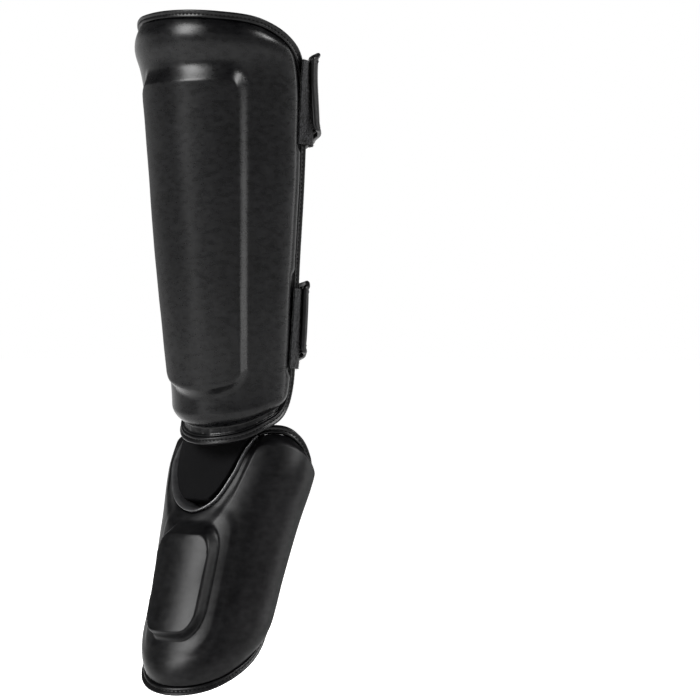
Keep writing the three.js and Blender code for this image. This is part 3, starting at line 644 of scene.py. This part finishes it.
def stitches(name, points, normals):
    """A row of thread stitches lying along a line of points"""
    run = np.concatenate([[0], np.cumsum(np.linalg.norm(np.diff(points, axis=0), axis=1))]) / MM
    middles = np.arange(0.5 * STITCH_PITCH, run[-1], STITCH_PITCH)

    def sample(values, at):
        return np.stack([np.interp(at, run, values[:, k]) for k in range(3)], axis=1)

    here = sample(points, middles)
    reach = 0.4 * STITCH_LENGTH
    along = sample(points, middles + reach) - sample(points, middles - reach)
    along /= np.linalg.norm(along, axis=1, keepdims=True)
    up = sample(normals, middles)
    up /= np.linalg.norm(up, axis=1, keepdims=True)
    across = np.cross(along, up)
    here = here + up * STITCH_PROUD * MM
    vertices = np.stack([here + MM * (l * STITCH_LENGTH * along + w * STITCH_WIDTH * across
                                      + h * STITCH_WIDTH * up) for l, w, h in STITCH_SHAPE], axis=1)
    first = np.arange(len(middles))[:, None, None] * len(STITCH_SHAPE)
    faces = (first + np.array(STITCH_FACES)[None]).reshape(-1, 3)
    piece(name, vertices.reshape(-1, 3), faces, THREAD)


# Plates

def surface_uv(form, angle, at):
    radius = half_width_at(form, at)
    return MM * np.stack([angle * DEGREE * radius, -at * form["length"]], axis=-1)


UNEVEN = 0.35  # the padding's unevenness
MARGIN_DEPTH = 2.2
MARGIN_CRUMPLE = 0.35
INSIDE_RIPPLE = 0.3
INSIDE_SKIP = 3  # the lining takes every third row and column of the cover


def shin_lift():
    s = SHIN
    lift = plate_lift(s, s["u"], s["v"], s["angle"], s["at"])
    x, z = s["angle"] * DEGREE * SHIN_HALF_WIDTH, s["at"] * SHIN_LENGTH
    lift = lift + UNEVEN * waves(x / 22, z / 30, 3)
    from_edge = (1 - s["v"]) * SHIN_LENGTH
    margin = ease((SHIN_MARGIN + 2 - from_edge) / 3) * ease(from_edge / 2)
    return lift + margin * (MARGIN_CRUMPLE * waves(x / 4, z / 3.5, 5) - MARGIN_DEPTH)


def instep_lift():
    s = INSTEP
    lift = plate_lift(s, s["u"], s["v"], s["angle"], s["at"])
    x, z = s["angle"] * DEGREE * INSTEP_HALF_WIDTH, s["at"] * INSTEP_LENGTH
    return lift + UNEVEN * waves(x / 18, z / 22, 8)


def plate_pieces(plate, lift, prefix, material):
    form, angle, at = plate["form"], plate["angle"], plate["at"]
    uv = surface_uv(form, angle, at)
    cover = wall(f"{prefix}_cover", form_point(form, angle, at, lift),
                 form_point(form, angle, at, -PADDING), material, [f"{prefix}_shell"], uv)
    pick = np.ix_(*(np.unique(np.append(np.arange(0, size, INSIDE_SKIP), size - 1))
                    for size in angle.shape))
    inner = -PADDING - CLEARANCE
    x, z = angle[pick] * DEGREE * form["half_width"], at[pick] * form["length"]
    ripple = INSIDE_RIPPLE * waves(x / 25, z / 25, 11)
    outer_face = form_point(form, angle[pick], at[pick], inner)
    inside = wall(f"{prefix}_inside", outer_face,
                  form_point(form, angle[pick], at[pick], inner - LINING + ripple), INSIDE,
                  [f"{prefix}_lining"], uv[pick])


EDGE_STEP = 1.6


def edge_line(plate):
    """Once round the plate's edge: angle, share down, outward direction and radius"""
    u, v = [], []
    sides = {"top": lambda t: (t, 0 * t), "left": lambda t: (0 * t + 1, t),
             "bottom": lambda t: (1 - t, 0 * t + 1), "right": lambda t: (0 * t, 1 - t)}
    for side in SIDES:
        line = plate["lines"][side]
        width = np.diff(line["angle"]) * DEGREE * plate["form"]["half_width"]
        height = np.diff(line["at"]) * plate["form"]["length"]
        count = int(np.hypot(width, height).sum() / EDGE_STEP)
        a, b = sides[side](np.arange(count) / count)
        u.append(a)
        v.append(b)
    angle, at = plate_place(plate, np.concatenate(u), np.concatenate(v))
    radius = half_width_at(plate["form"], at)
    along = np.stack([(np.roll(angle, -1) - np.roll(angle, 1)) * DEGREE * radius,
                      (np.roll(at, -1) - np.roll(at, 1)) * plate["form"]["length"]], axis=1)
    along /= np.linalg.norm(along, axis=1, keepdims=True)
    out = np.stack([along[:, 1], -along[:, 0]], axis=1)
    return {"angle": angle, "at": at, "out": out, "radius": radius}


def part_of(line, chosen):
    """Some places of an edge line"""
    return {key: value[chosen] for key, value in line.items()}


def edge_points(plate, line, out, lift):
    out = np.asarray(out, dtype=float)
    angle = line["angle"] + line["out"][:, 0] * out / line["radius"] / DEGREE
    at = line["at"] + line["out"][:, 1] * out / plate["form"]["length"]
    return form_point(plate["form"], angle, at, lift)


def binding_rings(plate, line, width, section, seed):
    outer = -EDGE_DROP + BINDING_PROUD
    inner = -PADDING - LINING - CLEARANCE - BINDING_PROUD
    run = np.arange(len(line["angle"])) * EDGE_STEP
    pucker = (PUCKER_AT_STITCHES * np.sin(2 * math.pi * run / STITCH_PITCH)
              + PUCKER_LOOSE * waves(run / 9, 0 * run, seed))
    rings = []
    proud = THROAT_PROUD * in_throat(line["angle"]) if section is PIPING_SECTION else 0
    for out, level, soft in section:
        lift = inner + level * (outer + proud - inner) + soft * pucker
        rings.append(edge_points(plate, line, EDGE_GAP + out * width, lift))
    return np.stack(rings, axis=1)


# Cross sections as (out, level, pucker), in shares of the width and of the edge's depth
BINDING_SECTION = [
    (-0.097, 0.78, 0), (0.04, 0.8, 0), (0.05, 0.93, 0), (0.12, 0.98, 0.5), (0.28, 0.98, 1),
    (0.42, 0.93, 1.2), (0.52, 0.95, 1), (0.66, 1.04, 0.6), (0.8, 1.07, 0.3), (0.92, 1.0, 0),
    (1.0, 0.8, 0), (1.02, 0.5, 0), (1.0, 0.28, 0), (0.93, 0.1, 0), (0.8, 0.0, 0), (0.5, -0.03, 0.5),
    (0.15, -0.02, 0), (-0.05, 0.0, 0), (-0.097, 0.1, 0), (-0.097, 0.45, 0)]
PIPING_SECTION = [
    (-0.157, 0.78, 0), (0.04, 0.85, 0), (0.1, 1.0, 0.1), (0.25, 1.1, 0.1), (0.42, 1.13, 0.1),
    (0.6, 1.1, 0.1), (0.72, 1.0, 0), (0.78, 0.85, 0), (0.76, 0.2, 0), (0.6, 0.02, 0),
    (0.4, -0.03, 0), (-0.1, 0.0, 0), (-0.157, 0.1, 0), (-0.157, 0.45, 0)]
PUCKER_AT_STITCHES = 0.18
PUCKER_LOOSE = 0.15
STITCHES_ACROSS = 0.42  # where the seam runs on the binding, as a share of its width
STITCHES_SUNK = 0.5


def closed_line(values):
    return np.concatenate([values, values[:1]])


def edge_stitches(name, plate, line, closed):
    out = EDGE_GAP + STITCHES_ACROSS * BINDING_WIDTH
    top = -EDGE_DROP + BINDING_PROUD - STITCHES_SUNK
    here = edge_points(plate, line, out, top)
    normal = edge_points(plate, line, out, top + NORMAL_STEP) - here
    if closed:
        here, normal = closed_line(here), closed_line(normal)
    stitches(name, here, normal)


plate_pieces(SHIN, shin_lift(), "shin", COVER)
plate_pieces(INSTEP, instep_lift(), "instep", FOOT_COVER)

shin_edge = edge_line(SHIN)
band("shin_edge", binding_rings(SHIN, shin_edge, BINDING_WIDTH, BINDING_SECTION, 1), True, EDGE,
     ["shin_binding"])
edge_stitches("shin_edge_stitches", SHIN, shin_edge, True)

instep_edge = edge_line(INSTEP)
angle_share = instep_edge["angle"] / INSTEP_WRAP
is_throat = ((instep_edge["at"] < THROAT_LOWEST) & (angle_share > THROAT_RIGHT)
             & (angle_share < THROAT_LEFT))
throat_places = np.flatnonzero(is_throat)
rest_places = np.concatenate([np.arange(throat_places[-1] + 1, len(is_throat)),
                              np.arange(throat_places[0])])
throat, rest = part_of(instep_edge, throat_places), part_of(instep_edge, rest_places)
band("instep_edge", binding_rings(INSTEP, rest, BINDING_WIDTH, BINDING_SECTION, 2), False, EDGE,
     ["instep_binding"])
edge_stitches("instep_edge_stitches", INSTEP, rest, False)
band("throat_edge", binding_rings(INSTEP, throat, PIPING_WIDTH, PIPING_SECTION, 4), False, PIPING_PAINTED_HIGHLIGHT,
     ["throat_piping"])


# Straps

STRAP_COLUMNS = 170
STRAP_ROWS = 26
STRAP_SMOOTHING = 6  # columns on either side that a strap's height is averaged over
STRAP_CROWN = 0.5
STRAP_BUCKLE = 0.35
SEAM_FROM_EDGE = 2.2
SEAM_SUNK = 0.3
HOOK_ROWS = 12
HOOK_FREE_COLUMNS = 4  # columns at the strap's tip without hooks
TAB_COLUMNS = 60
TAB_ROWS = 90
TAB_ROUGH = 0.3
CORNER_TURNS = np.linspace(8, 82, 7) * DEGREE  # round each corner of a strap's end
END_OFFSETS = np.linspace(0.98, -0.98, 24)  # along the end, in shares of the half height


def over_edge(past):
    """Height of a strap or tab lying on the plate's edge, by the distance past the edge"""
    flank = -EDGE_DROP * (1 - ease(STRAP_LAP / SHIN_ROLL)) + 2 * CLEARANCE
    binding = -EDGE_DROP + BINDING_PROUD + 2 * CLEARANCE
    edge = BINDING_WIDTH + EDGE_GAP + CLEARANCE
    share = np.minimum(1, (past + STRAP_LAP) / (edge + STRAP_LAP))
    return flank + (binding - flank) * share - STRAP_DIVE * np.maximum(0, past - edge)


def leg_share(height):
    """Share down the shin for a height in millimetres"""
    return (SHIN_TOP - height) / SHIN_LENGTH


def long_edge(side, low, high):
    """The widest angle that the shin plate's edge reaches between two heights"""
    line = SHIN["lines"][side]
    within = (line["at"] >= leg_share(high)) & (line["at"] <= leg_share(low))
    return np.abs(line["angle"][within]).max()


def strap_places(start, height, tilt, course):
    half = 0.5 * height
    end_middle = start + course["rise"][-1] * height
    start_radius = half_width_at(LEG, leg_share(start))
    end_radius = half_width_at(LEG, leg_share(end_middle))
    start_edge = long_edge("right", start - half - STRAP_PIPING, start + half)
    end_edge = long_edge("left", end_middle - TAB_BELOW_STRAP - half - STRAP_PIPING, end_middle + half)
    first = -start_edge + STRAP_LAP / start_radius / DEGREE
    last = -360 + end_edge + STRAP_END / end_radius / DEGREE
    stack = TAB_THICKNESS + HOOK_THICKNESS + 4 * CLEARANCE
    around = np.linspace(0, 1, STRAP_COLUMNS)
    angle = first + (last - first) * around
    from_start = -(angle + start_edge) * DEGREE * start_radius
    from_end = (angle + 360 - end_edge) * DEGREE * end_radius
    lift = np.maximum(np.maximum(over_edge(from_start), -STRAP_TUCK), over_edge(from_end) + stack)
    window = 2 * STRAP_SMOOTHING + 1
    padded = np.pad(lift, STRAP_SMOOTHING, mode="reflect", reflect_type="odd")
    smooth = np.convolve(padded, np.ones(window) / window, "valid")
    return dict(angle=angle, middle=start + read_table(course, "rise", around) * height,
                half=half * read_table(course, "tall", around), lift=np.maximum(smooth, lift),
                tilt=tilt * (1 - ease((from_end - TAB_REACH) / STRAP_TILT_RUN)), full_tilt=tilt,
                radius=float(start_radius), run=(first - angle) * DEGREE * start_radius,
                end_edge=end_edge, end_middle=end_middle, end_radius=end_radius,
                to_end=(angle - last) * DEGREE * end_radius)


def strap_point(places, offset, lift):
    lean = places["tilt"] * offset / places["half"]
    return form_point(LEG, places["angle"], leg_share(places["middle"] + offset),
                      places["lift"] + lift - lean)


def strap(name, start, height, tilt, course):
    p = strap_places(start, height, tilt, course)
    rows = np.linspace(1, -1, STRAP_ROWS)
    crown = STRAP_CROWN * (1 - rows**4)
    run = p["run"]
    buckle = STRAP_BUCKLE * waves(run / 26, 0 * run, 21) * (1 - 0.4 * rows[:, None]**2)
    outer = np.stack([strap_point(p, r * p["half"], STRAP_THICKNESS - STRAP_CROWN + c + 0.3 * b)
                      for r, c, b in zip(rows, crown, buckle)])
    inner = np.stack([strap_point(p, r * p["half"], 0) for r in rows])
    uv = MM * np.stack([np.broadcast_to(run, outer.shape[:2]), rows[:, None] * p["half"]], axis=-1)
    made = wall(f"{name}_band", outer, inner, STRAP, [f"{name}_strap"], uv)
    strap_edge(name, p)
    for side, word in ((1, "high"), (-1, "low")):
        seam = side * (p["half"] - SEAM_FROM_EDGE)
        line = strap_point(p, seam, STRAP_THICKNESS - SEAM_SUNK)
        above = strap_point(p, seam, STRAP_THICKNESS + NORMAL_STEP)
        stitches(f"{name}_{word}_stitches", line, above - line)
    hook = np.flatnonzero(p["to_end"] < HOOK_LENGTH)[:-HOOK_FREE_COLUMNS]
    q = {key: value[hook] if np.ndim(value) else value for key, value in p.items()}
    rows = np.linspace(1, -1, HOOK_ROWS)
    outer, inner = (np.stack([strap_point(q, r * (q["half"] - STRAP_PIPING), lift) for r in rows])
                    for lift in (-CLEARANCE, -CLEARANCE - HOOK_THICKNESS))
    hooks = wall(f"{name}_hooks", outer, inner, PILE, [f"{name}_hook_pad"])
    loop_tab(name, height, p)


# Cross section as (reach, level), in shares of the piping's width and the strap's thickness
STRAP_EDGE_SECTION = [(0, 0.1), (0, 0.9), (0.2, 1.15), (0.5, 1.25), (0.8, 1.12), (1, 0.75), (1, 0.25),
                      (0.8, -0.12), (0.5, -0.2), (0.2, -0.12)]


def strap_edge(name, p):
    def ring(k, offset, upward, endward):
        one = {key: value[k] if np.ndim(value) else value for key, value in p.items()}
        points = []
        for reach, level in STRAP_EDGE_SECTION:
            distance = CLEARANCE + reach * STRAP_PIPING
            moved = dict(one, angle=one["angle"] - distance * endward / one["radius"] / DEGREE)
            height = offset * one["half"] + distance * upward
            points.append(strap_point(moved, height, level * STRAP_THICKNESS))
        return np.array(points)

    count = len(p["angle"])
    rings = [ring(k, 1, 1, 0) for k in range(count - 1)]
    last = count - 1
    for turn in CORNER_TURNS:
        rings.append(ring(last, 1, math.cos(turn), math.sin(turn)))
    for offset in END_OFFSETS:
        rings.append(ring(last, offset, 0, 1))
    for turn in CORNER_TURNS[::-1]:
        rings.append(ring(last, -1, -math.cos(turn), math.sin(turn)))
    rings += [ring(k, -1, -1, 0) for k in range(count - 2, -1, -1)]
    band(f"{name}_piping", rings, False, EDGE, [f"{name}_strap_piping"])


def loop_tab(name, height, p):
    middle = p["end_middle"] - TAB_BELOW_STRAP
    past = np.linspace(-STRAP_LAP, TAB_REACH, TAB_COLUMNS)[None, :]
    side = np.linspace(1, -1, TAB_ROWS)[:, None]
    at = leg_share(middle + side * (0.5 * height + STRAP_PIPING))
    angle = p["end_edge"] + past / p["end_radius"] / DEGREE
    rough = TAB_ROUGH * waves(past / 1.6, side * height / 3.2, 31) * np.ones_like(side * past)
    lean = p["full_tilt"] * side * ease((past + STRAP_LAP) / (STRAP_LAP + EDGE_GAP + BINDING_WIDTH))
    outer = form_point(LEG, angle, at, over_edge(past) + TAB_THICKNESS - 0.2 + rough - lean)
    inner = form_point(LEG, angle, at, over_edge(past) - lean)
    tab = wall(f"{name}_loops", outer, inner, PILE, [f"{name}_loop_tab"])
    fibres(f"{name}_fibres", outer, inner)


FIBRES = 5200
FIBRE_LENGTHS = (0.5, 1.3)
FIBRE_HALF_WIDTH = 0.07


def fibres(name, outer, inner):
    """Short loose fibres on the outer face and the edges of a tab"""
    rng, count = np.random.default_rng(7), FIBRES
    rows, columns = outer.shape[:2]
    j, i = rng.integers(0, rows, count), rng.integers(0, columns, count)
    edge = rng.random(count) < 0.35
    j = np.where(edge & (rng.random(count) < 0.3), rng.choice([0, rows - 1], count), j)
    i = np.where(edge & (j > 0) & (j < rows - 1), columns - 1, i)
    share = np.where(edge, rng.random(count), 0.0)[:, None]
    root = outer[j, i] * (1 - share) + inner[j, i] * share
    out = outer[j, i] - inner[j, i]
    out /= np.linalg.norm(out, axis=1, keepdims=True)
    centre = outer.mean(axis=(0, 1))
    away = np.where(edge[:, None], root - centre, 0)
    away /= np.maximum(np.linalg.norm(away, axis=1, keepdims=True), 1e-6)
    lean = rng.normal(0, 0.7, (count, 3))
    length = MM * rng.uniform(*FIBRE_LENGTHS, (count, 1))
    tip = root + length * (out * np.where(edge[:, None], 0.3, 0.9) + 0.8 * away + 0.5 * lean)
    across = np.cross(tip - root, rng.normal(0, 1, (count, 3)))
    across *= FIBRE_HALF_WIDTH * MM / np.maximum(np.linalg.norm(across, axis=1, keepdims=True), 1e-9)
    vertices = np.stack([root - across, root + across, tip], axis=1).reshape(-1, 3)
    return piece(name, vertices, np.arange(3 * count).reshape(-1, 3), PILE)


strap("upper", UPPER_STRAP_START, UPPER_STRAP_HEIGHT, UPPER_STRAP_TILT, UPPER_STRAP_COURSE)
strap("lower", LOWER_STRAP_START, LOWER_STRAP_HEIGHT, LOWER_STRAP_TILT, LOWER_STRAP_COURSE)


# Stretch panel and elastics

PANEL_BEHIND = 8  # the stretch panel past the throat's edge, sewn behind the plate
PANEL_PROUD = 6.5  # how far it bulges in the throat
PANEL_RISE_FROM = 3  # where its bulge starts, before the throat's edge
PANEL_RISE_RUN = 4.5
PANEL_DIVE = (0.262, 0.036)  # the share down at which it dives behind the plate, and over how much
PANEL_TAIL = [(0.286, 25, 4), (0.312, 25, 4), (0.345, 22, 0)]  # its last rows, hidden below the throat
PANEL_COLUMNS = 140
PANEL_ROWS = 70
ELASTIC_COLUMNS = 130
ELASTIC_ROWS = 16


def gusset():
    """Stretch panel, flush in the throat and tucked behind the plate all round it"""
    back = -PADDING - LINING - EDGE_GAP - BINDING_PROUD - 2 * CLEARANCE
    share = np.linspace(0, 1, PANEL_COLUMNS)
    table = np.array(GUSSET_FOOT_ROWS[:-1] + PANEL_TAIL)
    rows = [(LEG, *row, 0) for row in GUSSET_LEG_ROWS]
    for at in np.linspace(0, table[-1, 0], PANEL_ROWS):
        right, left = (np.interp(at, table[:, 0], table[:, k]) for k in (1, 2))
        rows.append((FOOT, at, right, left, 1 - ease((at - PANEL_DIVE[0]) / PANEL_DIVE[1])))
    grids = []
    for depth in (0, GUSSET_THICKNESS):
        grid = []
        for form, at, right, left, flush in rows:
            radius = half_width_at(form, at)
            behind = PANEL_BEHIND / radius / DEGREE if form is FOOT else 0
            angle = -right - behind + (right + left + 2 * behind) * share
            inside = np.minimum(share, 1 - share) * (right + left + 2 * behind) * DEGREE * radius
            bulge = ease((inside - PANEL_BEHIND + PANEL_RISE_FROM) / PANEL_RISE_RUN)
            lift = back + flush * (PANEL_PROUD - GUSSET_SET_IN - back) * bulge
            grid.append(form_point(form, angle, at, lift - depth))
        grids.append(np.stack(grid))
    outer, inner = grids
    across = np.linalg.norm(np.diff(outer, axis=1), axis=2).cumsum(axis=1)
    across = np.concatenate([np.zeros((len(outer), 1)), across], axis=1)
    across = across - 0.5 * across[:, -1:]
    down = np.linalg.norm(np.diff(outer[:, PANEL_COLUMNS // 2], axis=0), axis=1).cumsum()
    down = np.broadcast_to(np.concatenate([[0], down])[:, None], across.shape)
    panel = wall("ankle_panel", outer, inner, KNIT, ["ankle_gusset"],
                 np.stack([across, down], axis=-1))


def elastic_band(name, middle, width, tuck, material, node):
    around = np.linspace(0, 1, ELASTIC_COLUMNS)[None, :]
    side = np.linspace(-1, 1, ELASTIC_ROWS)[:, None]
    radius = half_width_at(FOOT, middle)
    first = INSTEP_WRAP - ELASTIC_LAP / radius / DEGREE
    inside = -PADDING - LINING - EDGE_GAP - BINDING_PROUD - ELASTIC_THICKNESS
    angle = first + (360 - 2 * first) * around
    away = ease((np.minimum(around, 1 - around) - ELASTIC_LEAVE) / ELASTIC_EASE)
    lift = inside + (-tuck - inside) * away
    at = middle + side * 0.5 * width / INSTEP_LENGTH
    outer = form_point(FOOT, angle, at, lift + ELASTIC_THICKNESS)
    inner = form_point(FOOT, angle, at, lift)
    run = around * (360 - 2 * first) * DEGREE * radius
    uv = MM * np.stack([np.broadcast_to(run, outer.shape[:2]),
                        np.broadcast_to(side * 0.5 * width, outer.shape[:2])], axis=-1)
    made = wall(name, outer, inner, material, [node], uv)


gusset()
elastic_band("heel_band", ANKLE_ELASTIC_AT, ANKLE_ELASTIC_WIDTH, ANKLE_ELASTIC_TUCK, ANKLE_BAND,
             "ankle_elastic")
elastic_band("sole_band", FOOT_ELASTIC_AT, FOOT_ELASTIC_WIDTH, FOOT_ELASTIC_TUCK, FOOT_BAND,
             "foot_elastic")


# Floor and light

FLOOR_REACH = 60.0
FLOOR_LEVEL = -0.42
FLOOR_GLOW = 0.87  # lifts the floor to the background's white
LIGHT_DISTANCE = 1.9
LIGHT_TARGET = (0, 0, -0.1)
# Lights: degrees beside the view, elevation, width, height and power
LIGHTS = {
    "right": (86, 4, 0.45, 1.5, 24),
    "left": (-60, 5, 0.4, 1.5, 7),
    "top_left": (-50, 30, 0.7, 0.9, 90),
    "top_right": (54, 36, 0.4, 0.6, 45),
}
# The studio's light by the height of its direction: bright round the horizon, dim above and below
STUDIO_LIGHT = {"From Min": 0.165, "From Max": 0.27, "To Min": 1.0, "To Max": 0.12}


def make_floor():
    mesh = bpy.data.meshes.new("floor")
    r, z = FLOOR_REACH, FLOOR_LEVEL
    mesh.from_pydata([(-r, -r, z), (r, -r, z), (r, r, z), (-r, r, z)], [], [(0, 1, 2, 3)])
    n = Nodes("pale_floor")
    tone = n.noise(n.place.outputs["Object"], 3, 2)
    mesh.materials.append(n.finish(
        Base_Color=n.shades(tone, (0.86, 0.86, 0.86), (0.88, 0.88, 0.88)),
        Emission_Color=(1, 1, 1, 1), Emission_Strength=FLOOR_GLOW,
        Roughness=0.9, Specular_IOR_Level=0.0))
    floor = bpy.data.objects.new("floor", mesh)
    bpy.context.scene.collection.objects.link(floor)


def soft_light(name, beside, elevation, width, height, power):
    back = direction(VIEW_AZIMUTH + beside, elevation)
    data = bpy.data.lights.new(name, "AREA")
    data.energy = power
    data.shape = "RECTANGLE"
    data.size = width
    data.size_y = height
    light = bpy.data.objects.new(name, data)
    light.location = Vector(LIGHT_TARGET) + back * LIGHT_DISTANCE
    light.rotation_mode = "QUATERNION"
    light.rotation_quaternion = (-back).to_track_quat("-Z", "Y")
    bpy.context.scene.collection.objects.link(light)


def make_light():
    world = bpy.data.worlds.new("studio")
    bpy.context.scene.world = world
    world.use_nodes = True
    tree = world.node_tree
    place = tree.nodes.new("ShaderNodeTexCoord")
    axes = tree.nodes.new("ShaderNodeSeparateXYZ")
    height = tree.nodes.new("ShaderNodeMath")
    height.operation = "ABSOLUTE"
    shade = tree.nodes.new("ShaderNodeMapRange")
    for name, value in STUDIO_LIGHT.items():
        shade.inputs[name].default_value = value
    tree.links.new(place.outputs["Generated"], axes.inputs["Vector"])
    tree.links.new(axes.outputs["Z"], height.inputs[0])
    tree.links.new(height.outputs[0], shade.inputs["Value"])
    tree.links.new(shade.outputs["Result"], tree.nodes["Background"].inputs["Strength"])
    tree.nodes["Background"].inputs["Color"].default_value = (1, 1, 1, 1)
    for name, light in LIGHTS.items():
        soft_light(name, *light)


make_floor()
make_light()
bpy.context.scene.view_settings.view_transform = "Standard"
